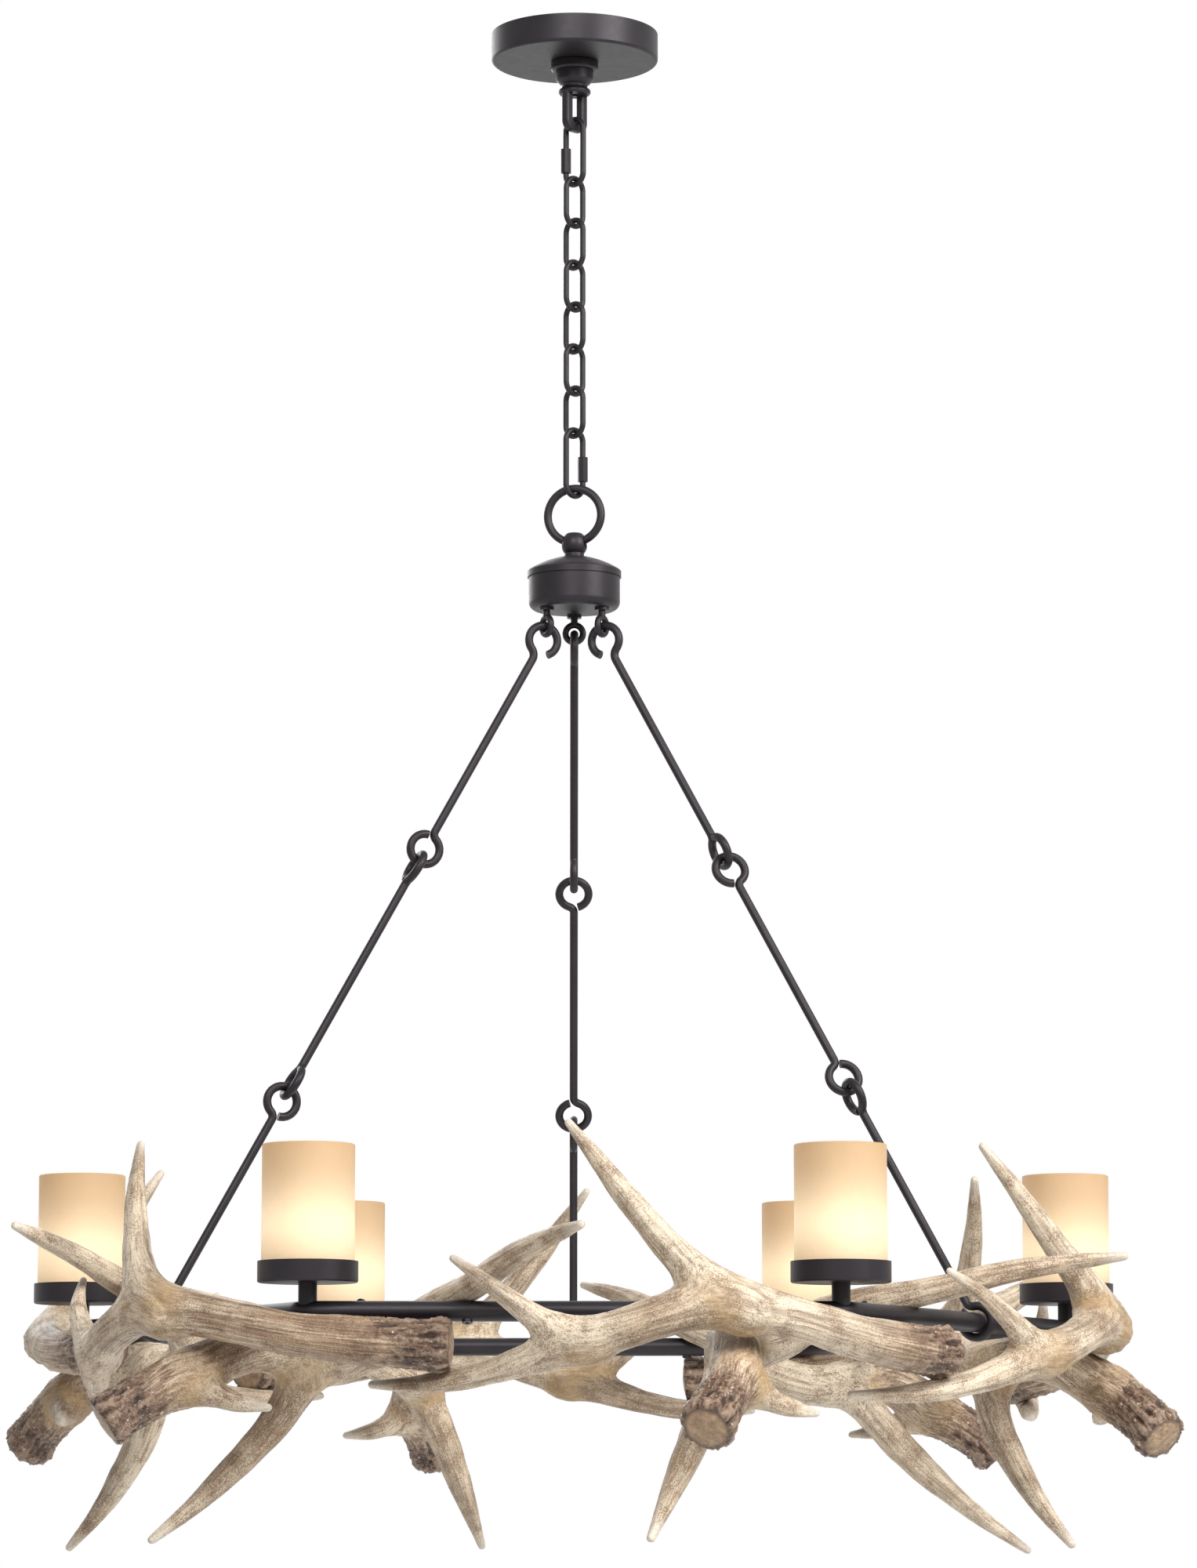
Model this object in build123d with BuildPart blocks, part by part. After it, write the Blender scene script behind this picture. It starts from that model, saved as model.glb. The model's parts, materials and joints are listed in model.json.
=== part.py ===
from build123d import *
from math import asin, cos, radians, sin, sqrt
import os

os.makedirs("parts", exist_ok=True)

# Driving dimensions in mm. The ceiling is z = 0 and the chandelier hangs below it.
gap = 0.3  # running clearance wherever one moving piece bears on another

# canopy and ceiling fixing
canopy_d = 143.0
canopy_h = 24.0
canopy_wall = 1.4
canopy_hole_d = 33.6
bar_length = 114.0
bar_width = 22.0
bar_t = 3.0
slot_spacing = 88.9
slot_length = 13.0
slot_d = 5.2
nipple_d = 10.0
nipple_bore = 7.0
nipple_length = 36.0
collar_d = 40.5
collar_h = 8.0
boss_d = 32.0
boss_top = -12.0
boss_end = -40.0
flange_d = 27.6
loop_bar = 7.5
loop_inner = 11.0
loop_low = -81.5  # middle of the loop's lower bar

# chain
link_wire = 4.8
link_length = 46.5
link_width = 25.0
link_count = 6
quick_wire = 5.0
quick_length = 62.0
quick_width = 24.0
sleeve_length = 21.0
sleeve_af = 8.0
quick_gap = 6.5
ring_wire = 7.0
top_ring_d = 53.4
loop_turn = 48.0  # turns are the azimuth of each loop's flat side
upper_quick_turn = -40.0
lower_quick_turn = 42.0
top_ring_turn = -14.0

# hub
hub_lid_d = 79.6
hub_cup_d = 77.4
hub_wall = 2.4
eye_circle = 27.0
eye_wire = 5.4
eye_radius = 7.4

# suspension rods
rod_d = 7.0
rod_eye = 12.7  # radius of an eye's middle line
rod_neck = 6.0
hook_neck = 9.0

# hexagonal ring and lights
ring_drop = 1109.0
corner_r = 414.0
tube_d = 16.0
bend_r = 18.0
hook_azimuth = [90.0, 210.0, 330.0]
hook_shift = [0.0, -55.0, 28.0]  # along the tube from the side's middle
upper_fraction = [0.3265, 0.3285, 0.3335]  # where a chain's two pairs of eyes meet,
lower_fraction = [0.672, 0.6715, 0.6665]  # as shares of the way down
chain_twist = [0.0, 0.0, 45.0]  # how far the middle rod hangs turned about its chain
stem_d = 14.5
lamp_circle = 410.5
saucer_d = 78.0
saucer_h = 16.5
saucer_z = 22.0  # above the tube's middle
glass_d = 72.0
glass_h = 104.0
glass_wall = 3.0
screw_d = 4.2
screw_head_d = 8.0
screw_head_h = 3.0
screw_sink = 1.4  # how deep a screw's head sits in the tube
screw_past = 4.0  # how far a screw goes past the middle of its antler
screw_clear = 0.1  # share of a side at each corner that is left free of screws
holder_d = 24.0
holder_h = 24.0
bulb_d = 34.0
bulb_h = 74.0

ring_z = -ring_drop
apothem = corner_r * cos(radians(30))


def rim(turn, side=0.0, z=0.0):
    """Upright plane through the axis: local x runs outward at the azimuth, local y is up."""
    a = radians(turn)
    out = Vector(cos(a), sin(a), 0)
    return Plane(origin=out * side + Vector(0, 0, z), x_dir=out, z_dir=out.cross(Vector(0, 0, 1)))


def oval(z_top, length, width, wire, turn):
    """Closed oval link of round wire: two half tori and two straight legs, z_top its highest point."""
    r = (width - wire) / 2
    leg = length - width
    zc = z_top - length / 2
    face = rim(turn, 0, zc)
    with BuildPart() as link:
        with BuildSketch(Plane(face.from_local_coords((r, 0, 0)), face.x_dir, (0, 0, 1))):
            Circle(wire / 2)
        extrude(amount=leg / 2, both=True)
        with BuildSketch(Plane(face.from_local_coords((-r, 0, 0)), face.x_dir, (0, 0, 1))):
            Circle(wire / 2)
        extrude(amount=leg / 2, both=True)
        for end in (1, -1):
            with BuildSketch(Plane(face.from_local_coords((r, end * leg / 2, 0)), face.x_dir, (0, 0, 1))):
                Circle(wire / 2)
            centre = face.from_local_coords((0, end * leg / 2, 0))
            revolve(axis=Axis(centre, face.z_dir), revolution_arc=180 if end > 0 else -180)
    return link.part


def piece(part, name):
    part.label = name
    export_step(part, f"parts/{name}.step")


# ---------------------------------------------------------------- ceiling fixing and canopy
with BuildPart() as crossbar:
    with BuildSketch(Plane.XY.offset(-bar_t)):
        SlotOverall(bar_length, bar_width)
        with Locations((slot_spacing / 2, 0), (-slot_spacing / 2, 0)):
            SlotOverall(slot_length, slot_d, mode=Mode.SUBTRACT)
        Circle(nipple_d / 2, mode=Mode.SUBTRACT)
    extrude(amount=bar_t)
piece(crossbar.part, "ceiling_crossbar")

with BuildPart() as nipple:
    with BuildSketch(Plane.XY.offset(-nipple_length)):
        Circle(nipple_d / 2)
        Circle(nipple_bore / 2, mode=Mode.SUBTRACT)
    extrude(amount=nipple_length)
piece(nipple.part, "threaded_nipple")

with BuildPart() as nipple_nut:
    with BuildSketch(Plane.XY.offset(-bar_t - 5)):
        RegularPolygon(8.0, 6, major_radius=False)
        Circle(nipple_d / 2, mode=Mode.SUBTRACT)
    extrude(amount=5)
piece(nipple_nut.part, "nipple_nut")

with BuildPart() as canopy:
    with BuildSketch(Plane.XY.offset(-canopy_h)):
        Circle(canopy_d / 2)
    extrude(amount=canopy_h)
    fillet(canopy.edges().group_by(Axis.Z)[0], 2.5)
    offset(amount=-canopy_wall, openings=canopy.faces().sort_by(Axis.Z)[-1])
    with BuildSketch(Plane.XY.offset(-canopy_h)):
        Circle(canopy_hole_d / 2)
    extrude(amount=canopy_h / 2, mode=Mode.SUBTRACT)
piece(canopy.part, "canopy")

with BuildPart() as collar:
    with BuildSketch(Plane.XY.offset(-canopy_h - collar_h)):
        Circle(collar_d / 2)
    extrude(amount=collar_h)
    chamfer(collar.edges().group_by(Axis.Z)[0], 1.6)
    fillet(collar.edges().group_by(Axis.Z)[-1], 0.8)
    with BuildSketch(Plane.XY.offset(-canopy_h - collar_h)):
        Circle(boss_d / 2 + gap)
    extrude(amount=collar_h, mode=Mode.SUBTRACT)
piece(collar.part, "lock_collar")

with BuildPart() as cast_loop:
    # flat sided ring that hangs from the flange, rounded on all its long edges
    outer_w = loop_inner + 2 * loop_bar
    top_z = boss_end - 10.0
    low_z = loop_low - loop_bar / 2
    half = loop_inner / 2
    with BuildSketch(rim(loop_turn)):
        with BuildLine():
            Line((-outer_w / 2, top_z), (-outer_w / 2, low_z + 9))
            TangentArc((-outer_w / 2, low_z + 9), (-outer_w / 2 + 9, low_z), tangent=(0, -1))
            Line((-outer_w / 2 + 9, low_z), (outer_w / 2 - 9, low_z))
            TangentArc((outer_w / 2 - 9, low_z), (outer_w / 2, low_z + 9), tangent=(1, 0))
            Line((outer_w / 2, low_z + 9), (outer_w / 2, top_z))
            Line((outer_w / 2, top_z), (-outer_w / 2, top_z))
        make_face()
        with BuildLine():
            spring = loop_low + loop_bar / 2 + half
            Line((-half, boss_end - 12.6), (-half, spring))
            ThreePointArc((-half, spring), (0, spring - half), (half, spring))
            Line((half, spring), (half, boss_end - 12.6))
            Line((half, boss_end - 12.6), (-half, boss_end - 12.6))
        make_face(mode=Mode.SUBTRACT)
    extrude(amount=3.8, both=True)
    flat_sides = cast_loop.faces().filter_by(Axis((0, 0, 0), rim(loop_turn).z_dir))
    fillet(flat_sides.edges().filter_by_position(Axis.Z, low_z - 1, top_z - 0.5), 2.0)

with BuildPart() as canopy_loop:
    # boss, waisted neck and flange turned as one profile
    with BuildSketch(Plane.XZ):
        with BuildLine():
            Polyline((0, boss_top), (boss_d / 2 - 1, boss_top), (boss_d / 2, boss_top - 1), (boss_d / 2, boss_end))
            Line((boss_d / 2, boss_end), (12.6, boss_end - 3.4))
            ThreePointArc((12.6, boss_end - 3.4), (10.9, boss_end - 5.4), (11.8, boss_end - 7.6))
            ThreePointArc((11.8, boss_end - 7.6), (flange_d / 2, boss_end - 10.0), (12.4, boss_end - 12.6))
            Polyline((12.4, boss_end - 12.6), (0, boss_end - 12.6), (0, boss_top))
        make_face()
    revolve(axis=Axis.Z)
    add(cast_loop.part)
    # way for the wires, and the thread that takes the nipple
    with BuildSketch(Plane.XY.offset(-nipple_length)):
        Circle(nipple_d / 2)
    extrude(amount=nipple_length, mode=Mode.SUBTRACT)
    with BuildSketch(Plane.XY.offset(boss_end - 13.0)):
        Circle(nipple_bore / 2)
    extrude(amount=20, mode=Mode.SUBTRACT)
piece(canopy_loop.part, "canopy_loop")

# ---------------------------------------------------------------- chain, from the canopy loop down
pivot_z = [loop_low]  # middle of the wire that each loop hangs from
quick_top = loop_low + 4.3 + gap + quick_wire / 2 + quick_wire / 2


def quick_link(name, z_top, turn, leg_side, nut_low):
    """Quick link: an oval with a gap in one leg and a sleeve nut that closes it."""
    r = (quick_width - quick_wire) / 2
    face = rim(turn)
    with BuildPart() as body:
        add(oval(z_top, quick_length, quick_width, quick_wire, turn))
        gap_low = Plane(face.from_local_coords((leg_side * r, nut_low + 1, 0)), face.x_dir, (0, 0, 1))
        with BuildSketch(gap_low):
            Circle(quick_wire)
        extrude(amount=quick_gap, mode=Mode.SUBTRACT)
    piece(body.part, name)
    sleeve_plane = Plane(face.from_local_coords((leg_side * r, nut_low, 0)), face.x_dir, (0, 0, 1))
    with BuildPart() as sleeve:
        with BuildSketch(sleeve_plane):
            RegularPolygon(sleeve_af / 2, 6, major_radius=False)
            Circle(quick_wire / 2 + gap, mode=Mode.SUBTRACT)
        extrude(amount=sleeve_length)
        with BuildSketch(sleeve_plane):
            Circle(sleeve_af / 2 * 1.12)
        extrude(amount=sleeve_length, mode=Mode.INTERSECT)
    piece(sleeve.part, name + "_sleeve")


quick_link("upper_quick_link", quick_top, upper_quick_turn, -1, quick_top - 48.0)
pivot_z.append(quick_top - quick_length + quick_wire / 2)

for i in range(link_count):
    wire_above = quick_wire if i == 0 else link_wire
    z_top = pivot_z[-1] + wire_above / 2 + gap + link_wire
    turn = 46.0 if i % 2 == 0 else -45.0
    piece(oval(z_top, link_length, link_width, link_wire, turn), f"chain_link_{i + 1}")
    pivot_z.append(z_top - link_length + link_wire / 2)

lower_top = pivot_z[-1] + link_wire / 2 + gap + quick_wire
quick_link("lower_quick_link", lower_top, lower_quick_turn, 1, lower_top - 46.0)
pivot_z.append(lower_top - quick_length + quick_wire / 2)

ring_mid = (top_ring_d - ring_wire) / 2
ring_centre = pivot_z[-1] + quick_wire / 2 + gap + ring_wire / 2 - ring_mid
ring_face = rim(top_ring_turn, 0, ring_centre)
with BuildPart() as top_ring:
    with BuildSketch(Plane(ring_face.from_local_coords((ring_mid, 0, 0)), ring_face.x_dir, (0, 0, 1))):
        Circle(ring_wire / 2)
    revolve(axis=Axis(ring_face.origin, ring_face.z_dir))
piece(top_ring.part, "top_ring")
knob_z = ring_centre - ring_mid  # middle of the ring's lowest wire
pivot_z.append(knob_z)

# ---------------------------------------------------------------- hub
lid_top = knob_z - 12.6
lid_low = lid_top - 17.8
cup_low = lid_low - 28.0
plate_t = 4.0

with BuildPart() as knob:
    with BuildSketch(Plane.XZ):
        with BuildLine():
            Polyline((0, knob_z + 7.6), (6.4, knob_z + 7.6))
            ThreePointArc((6.4, knob_z + 7.6), (11.0, knob_z - 0.6), (8.3, knob_z - 9.6))
            Polyline((8.3, knob_z - 9.6), (8.3, lid_top), (4, lid_top), (4, cup_low + plate_t - 4))
            Polyline((4, cup_low + plate_t - 4), (0, cup_low + plate_t - 4), (0, knob_z + 7.6))
        make_face()
    revolve(axis=Axis.Z)
    # the ring's way through the knob flares at both mouths, so the curved wire can turn in it
    with BuildSketch(rim(top_ring_turn, 0, knob_z)):
        with BuildLine():
            mouth = 12.5
            sag = ring_mid - sqrt(ring_mid**2 - mouth**2)
            bore = ring_wire / 2 + gap
            ThreePointArc((-mouth, bore + sag), (0, bore), (mouth, bore + sag))
            Polyline((mouth, bore + sag), (mouth, 0), (-mouth, 0), (-mouth, bore + sag))
        make_face()
    revolve(axis=Axis((0, 0, knob_z), rim(top_ring_turn).x_dir), mode=Mode.SUBTRACT)
piece(knob.part, "hub_knob")

with BuildPart() as lid:
    with BuildSketch(Plane.XZ):
        with BuildLine():
            Line((4, lid_top), (9.0, lid_top))
            ThreePointArc((9.0, lid_top), (27.0, lid_top - 5.4), (hub_lid_d / 2 - 1.2, lid_low + 6.4))
            Line((hub_lid_d / 2 - 1.2, lid_low + 6.4), (hub_lid_d / 2, lid_low + 5.2))
            Line((hub_lid_d / 2, lid_low + 5.2), (hub_lid_d / 2, lid_low))
            Line((hub_lid_d / 2, lid_low), (hub_cup_d / 2 - hub_wall, lid_low))
            Line((hub_cup_d / 2 - hub_wall, lid_low), (hub_cup_d / 2 - hub_wall, lid_low + 4.2))
            ThreePointArc(
                (hub_cup_d / 2 - hub_wall, lid_low + 4.2),
                (25.0, lid_top - 7.4),
                (9.0, lid_top - 2.4),
            )
            Line((9.0, lid_top - 2.4), (4, lid_top - 2.4))
            Line((4, lid_top - 2.4), (4, lid_top))
        make_face()
    revolve(axis=Axis.Z)
piece(lid.part, "hub_lid")

eye_angles = hook_azimuth
with BuildPart() as cup:
    with BuildSketch(Plane.XY.offset(cup_low)):
        Circle(hub_cup_d / 2)
    extrude(amount=lid_low - cup_low)
    fillet(cup.edges().group_by(Axis.Z)[0], 7.0)
    offset(amount=-hub_wall, openings=cup.faces().sort_by(Axis.Z)[-1])
    with BuildSketch(Plane.XY.offset(cup_low)):
        Circle(hub_cup_d / 2 - 12)
    extrude(amount=plate_t)
    with BuildSketch(Plane.XY.offset(cup_low)):
        Circle(4)
        for a in eye_angles:
            with Locations((eye_circle * cos(radians(a)), eye_circle * sin(radians(a)))):
                Circle(3)
    extrude(amount=plate_t, mode=Mode.SUBTRACT)
piece(cup.part, "hub_cup")

eye_z = cup_low - 15.6  # middle of each eye
with BuildPart() as eye_bolts:
    for a in eye_angles:
        face = rim(a + 90, 0, 0)
        foot = rim(a, eye_circle, 0).origin
        with BuildSketch(Plane(foot + Vector(0, 0, cup_low - 2.4), face.x_dir, (0, 0, 1))):
            Circle(6.2)
        extrude(amount=2.4)
        with BuildSketch(Plane(foot + Vector(0, 0, eye_z + eye_radius - 1.0), face.x_dir, (0, 0, 1))):
            Circle(3)
        extrude(amount=cup_low + plate_t + 8.0 - eye_z - eye_radius)
        with BuildSketch(Plane(foot + face.x_dir * eye_radius + Vector(0, 0, eye_z), face.x_dir, (0, 0, 1))):
            Circle(eye_wire / 2)
        revolve(axis=Axis(foot + Vector(0, 0, eye_z), face.z_dir))
piece(eye_bolts.part, "eye_bolts")

with BuildPart() as hub_nuts:
    for a in eye_angles:
        foot = rim(a, eye_circle, cup_low + plate_t).origin
        with BuildSketch(Plane(foot)):
            RegularPolygon(5.0, 6, major_radius=False)
            Circle(3, mode=Mode.SUBTRACT)
        extrude(amount=5)
    with BuildSketch(Plane((0, 0, cup_low + plate_t))):
        RegularPolygon(6.5, 6, major_radius=False)
        Circle(4, mode=Mode.SUBTRACT)
    extrude(amount=6)
piece(hub_nuts.part, "hub_nuts")

# ---------------------------------------------------------------- suspension rods
eye_end = 254  # where the free end butts against the shank
hook_end = 222


def eye_path(centre, along, side, neck, end_angle):
    """Middle line of an eye: the rod runs up its own axis, bends out and turns round the centre."""
    base = Plane(origin=centre, x_dir=side, z_dir=side.cross(along))
    y0 = -sqrt(rod_eye**2 + 2 * rod_eye * neck)
    start = radians(-90) + asin(neck / (rod_eye + neck))
    mid = Vector(neck - neck * cos(radians(20)), y0 + neck * sin(radians(20)))
    join = Vector(rod_eye * cos(start), rod_eye * sin(start))
    end = radians(end_angle)
    half = (start + end) / 2
    points = [
        Vector(0, y0),
        mid,
        join,
        Vector(rod_eye * cos(half), rod_eye * sin(half)),
        Vector(rod_eye * cos(end), rod_eye * sin(end)),
    ]
    return [base.from_local_coords(p) for p in points]


def rod(name, top, low, top_side, low_side, top_neck, top_end, low_end):
    """A rod between two eyes: top and low are the eyes' middles."""
    along = (top - low).normalized()
    upper = eye_path(top, along, top_side, top_neck, top_end)
    lower = eye_path(low, along * -1, low_side, rod_neck, low_end)
    with BuildPart() as bar:
        with BuildLine():
            ThreePointArc(lower[4], lower[3], lower[2])
            ThreePointArc(lower[2], lower[1], lower[0])
            Line(lower[0], upper[0])
            ThreePointArc(upper[0], upper[1], upper[2])
            ThreePointArc(upper[2], upper[3], upper[4])
        base = Plane(origin=low, x_dir=low_side, z_dir=low_side.cross(along))
        radial = (lower[4] - low).normalized()
        with BuildSketch(Plane(origin=lower[4], x_dir=radial, z_dir=radial.cross(base.z_dir))):
            Circle(rod_d / 2)
        sweep()
    piece(bar.part, name)


for i, name in enumerate(["rear", "left", "right"]):
    a = radians(hook_azimuth[i])
    shift = hook_shift[i]
    out = Vector(cos(a), sin(a), 0)
    tangent = Vector(-sin(a), cos(a), 0)
    bearing = out * eye_circle + Vector(0, 0, eye_z - eye_radius)
    tube_point = out * apothem + tangent * shift + Vector(0, 0, ring_z)
    down = (tube_point - bearing).normalized()
    # hook and foot lie in the upright plane of their chain, the middle rod lies across its neighbours
    flat = Vector(down.X, down.Y, 0).normalized()
    across = Vector(0, 0, 1).cross(flat)
    in_plane = down.cross(across).normalized()
    hook_centre = bearing - down * (rod_d / 2 + eye_wire / 2 + gap - rod_eye)
    low_centre = tube_point + down * (tube_d / 2 + rod_d / 2 + gap - rod_eye)
    span = (low_centre - hook_centre).length
    pitch = 2 * rod_eye - rod_d - gap
    upper_low = hook_centre + down * (span * upper_fraction[i] - pitch / 2)
    mid_top = upper_low + down * pitch
    mid_low = hook_centre + down * (span * lower_fraction[i] - pitch / 2)
    lower_top_eye = mid_low + down * pitch
    twist = radians(chain_twist[i])
    mid_side = across * cos(twist) + in_plane * sin(twist)
    end_side = across * sin(twist) - in_plane * cos(twist)
    rod(f"upper_rod_{name}", hook_centre, upper_low, in_plane, end_side, hook_neck, hook_end, eye_end)
    rod(f"middle_rod_{name}", mid_top, mid_low, mid_side, mid_side * -1, rod_neck, eye_end, eye_end)
    rod(f"lower_rod_{name}", lower_top_eye, low_centre, end_side * -1, in_plane, rod_neck, eye_end, eye_end)

# ---------------------------------------------------------------- hexagonal ring and lights
with BuildPart() as ring:
    with BuildLine():
        corners = [(corner_r * cos(radians(60 * k)), corner_r * sin(radians(60 * k)), ring_z) for k in range(6)]
        hexagon = Polyline(*corners, close=True)
        tube_line = fillet(hexagon.vertices(), bend_r)
    with BuildSketch(Plane((0, -apothem, ring_z), (0, 0, 1), (1, 0, 0))):
        Circle(tube_d / 2)
    sweep()


def lamp_plane(k, z):
    """Level plane on the middle line of one light, counted round from the right-hand corner."""
    a = radians(60 * k)
    return Plane(origin=(lamp_circle * cos(a), lamp_circle * sin(a), ring_z + z), x_dir=(cos(a), sin(a), 0))


# ---------------------------------------------------------------- lights
with BuildPart() as stems:
    for k in range(6):
        with BuildSketch(lamp_plane(k, 2)):
            Circle(stem_d / 2)
        extrude(amount=saucer_z - 2)
    add(ring.part, mode=Mode.SUBTRACT)
piece(stems.part, "lamp_stems")

with BuildPart() as saucers:
    for k in range(6):
        with BuildSketch(lamp_plane(k, saucer_z)):
            Circle(saucer_d / 2)
        extrude(amount=saucer_h)
    fillet(saucers.edges().group_by(Axis.Z)[0], 1.5)
    for k in range(6):
        with BuildSketch(lamp_plane(k, saucer_z + 2.5)):
            Circle(saucer_d / 2 - 2.2)
        extrude(amount=saucer_h, mode=Mode.SUBTRACT)
piece(saucers.part, "saucers")

holder_z = saucer_z + 2.5
with BuildPart() as holders:
    for k in range(6):
        with BuildSketch(lamp_plane(k, holder_z)):
            Circle(holder_d / 2)
        extrude(amount=holder_h)
        with BuildSketch(lamp_plane(k, holder_z + 6)):
            Circle(7.0)
        extrude(amount=holder_h, mode=Mode.SUBTRACT)
piece(holders.part, "lamp_holders")

glass_z = holder_z
for k in range(6):
    with BuildPart() as shade:
        with BuildSketch(lamp_plane(k, glass_z + gap)):
            Circle(glass_d / 2)
            Circle(glass_d / 2 - glass_wall, mode=Mode.SUBTRACT)
        extrude(amount=glass_h)
    piece(shade.part, f"glass_{k + 1}")

    axis_plane = lamp_plane(k, holder_z + 6 + gap)
    face = Plane(axis_plane.origin, axis_plane.x_dir, axis_plane.x_dir.cross(Vector(0, 0, 1)))
    neck_z = holder_h - 4.0
    with BuildPart() as bulb:
        with BuildSketch(face):
            with BuildLine():
                Polyline((0, 0), (3.0, 0), (6.6, 3.0), (6.6, neck_z), (8.6, neck_z + 3.0))
                ThreePointArc((8.6, neck_z + 3.0), (bulb_d / 2, neck_z + 24), (9.6, neck_z + 44.5))
                Polyline((9.6, neck_z + 44.5), (5.0, neck_z + 49), (0, neck_z + 50), (0, 0))
            make_face()
        revolve(axis=Axis(face.origin, (0, 0, 1)))
    piece(bulb.part, f"bulb_{k + 1}")


# ---------------------------------------------------------------- antlers
def branch(points, radii, ref=(0, 0, 1)):
    """One antler branch: round sections, evenly spaced along a smooth middle line, lofted."""
    with BuildPart() as limb:
        with BuildLine():
            line = Spline(*points)
        steps = len(radii) - 1
        for i, r in enumerate(radii):
            t = line % (i / steps)
            side = Vector(*ref).cross(t).normalized()
            with BuildSketch(Plane(origin=line @ (i / steps), x_dir=side, z_dir=t)):
                Circle(r)
        loft()
    return limb.part


def burr(points, radius):
    """The pearled rim round an antler's foot, just above its cut end."""
    foot = Vector(*points[0])
    along = (Vector(*points[1]) - foot).normalized()
    with BuildPart() as crown:
        with BuildSketch(Plane(origin=foot + along * 3, z_dir=along)):
            Circle(radius)
        extrude(amount=8)
        fillet(crown.edges(), 3.4)
    return crown.part


# Middle lines in mm, for the front side: x to the right, y away, z above the ring's tube.
upper_beam = [
    (285.6, -277.1, -27.5),
    (232, -350, -22),
    (170, -408, -8),
    (101, -442.8, 1.3),
    (40, -446, -14),
    (-12, -431.6, -30.8),
    (-70, -402, -50),
    (-120, -370, -58),
    (-159, -344, -58.3),
]
upper_tine = [(124, -441, -2), (86, -441, 27), (45, -427, 71), (13, -411, 111), (-10, -397, 141.5)]
small_tine = [(6, -436, -28), (-34, -433, -8), (-68, -422, 16), (-97, -404, 36.7)]
lower_beam = [
    (108, -485, -93),
    (118, -457, -72),
    (128, -420, -50),
    (123, -356, -26.5),
    (126, -312, -34),
    (158, -278, -22),
    (208, -262, 4),
    (263, -257, 19.5),
    (340, -258, 42),
    (429, -254, 60),
]
brow_tine = [(124, -428, -55), (148, -415, -66), (172, -399, -74), (191, -386, -77)]
down_tine = [(130, -322, -34), (113, -330, -68), (96, -357, -111), (82, -389, -148), (71, -421, -178)]
# the rear casts' long down tines are bent outward: how far the tip stands off, in mm
down_splay = [(0, 0), (0, 0), (-28, -48), (0, 0), (20, -30), (0, 0)]
root_share = 0.3  # the root moves by this share of the tip's way

with BuildPart() as upper_master:
    add(branch(upper_beam, [18.5, 18, 17.2, 16.4, 16.4, 17, 16, 15, 12, 9.5, 7.5, 3.2]))
    add(branch(upper_tine, [15, 14.2, 12.4, 10.6, 8.6, 6.2, 3.2]))
    add(branch(small_tine, [12, 11, 9.2, 7.2, 5.2, 3.0]))
    add(burr(upper_beam, 20.5))

with BuildPart() as lower_master:
    add(branch(lower_beam, [18.5, 18.5, 18.4, 18, 17.6, 17, 16.4, 14.6, 12.4, 11, 10.2, 8.6, 6.6, 3.4]))
    add(branch(brow_tine, [12, 11, 8.6, 6.4, 3.0]))
    add(burr(lower_beam, 20.5))


def lower_cast(k):
    """The lower antler of one side, with that side's down tine."""
    dx, dy = down_splay[k]
    bent = []
    for i, (x, y, z) in enumerate(down_tine):
        share = root_share + (1 - root_share) * i / (len(down_tine) - 1)
        bent.append((x + dx * share, y + dy * share, z))
    with BuildPart() as cast:
        add(lower_master.part)
        add(branch(bent, [15, 14.5, 13, 11, 9, 6.6, 3.4], (1, 0, 0)))
    return cast.part


sides = ["front", "front_right", "rear_right", "rear", "rear_left", "front_left"]
# every cast is hung a little differently: turns about x, y, z in degrees, then a shift in mm
upper_hang = [
    ((0.4, 0.6, 0.2), (4.2, 4.5, 0.5)),
    ((-2.4, 0.4, 1), (-3.1, 7.5, -2.5)),
    ((-2.9, -1.6, 0.1), (-2.4, -2.2, -2)),
    ((1.6, -0.2, -1), (-1.5, -0.5, -0.1)),
    ((5.5, 1.5, 1.8), (5.4, -6.6, 1.7)),
    ((-0.5, -0.4, 0.6), (2.1, 0, -0.7)),
]
lower_hang = [
    ((1.8, 3.5, -1.2), (-3.7, 4.8, -0.4)),
    ((0.4, -0.1, -1), (-1.1, -2.5, 1.7)),
    ((-1.2, -1.3, 2.4), (-1.5, -11.9, -1.5)),
    ((2.4, 2.1, 3.7), (13.6, 5.6, -0.4)),
    ((1, -1.7, -2.1), (-4.9, -0.9, 3.5)),
    ((-2.9, -0.5, 0.1), (0.7, 6.3, 2.5)),
]
upper_pivot = Vector(13, -415, 10)
lower_pivot = Vector(180, -371, -36)


def hang(master, pivot, pose, k):
    """Place a cast: turn and shift it about its middle, then carry it round to its own side."""
    (rx, ry, rz), (dx, dy, dz) = pose
    shifted = master.moved(Location(pivot * -1))
    turned = shifted.rotate(Axis.X, rx).rotate(Axis.Y, ry).rotate(Axis.Z, rz)
    placed = turned.moved(Location(pivot + Vector(dx, dy, dz + ring_z)))
    return placed.rotate(Axis.Z, 60 * k)


uppers = [hang(upper_master.part, upper_pivot, upper_hang[k], k) for k in range(6)]
lowers = [hang(lower_cast(k), lower_pivot, lower_hang[k], k) for k in range(6)]

# each antler is held by one screw, through the tube where it lies nearest, towards its middle line
with BuildLine() as upper_core:
    Spline(*upper_beam)
with BuildLine() as lower_core:
    Spline(*lower_beam)
cores = [hang(upper_core.line, upper_pivot, upper_hang[k], k) for k in range(6)]
cores += [hang(lower_core.line, lower_pivot, lower_hang[k], k) for k in range(6)]


# the tube's straight runs, kept clear of the corners where the lamp stems stand
with BuildLine() as runs:
    for k in range(6):
        start, end = Vector(corners[k]), Vector(corners[(k + 1) % 6])
        Line(start + (end - start) * screw_clear, end + (start - end) * screw_clear)


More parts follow.
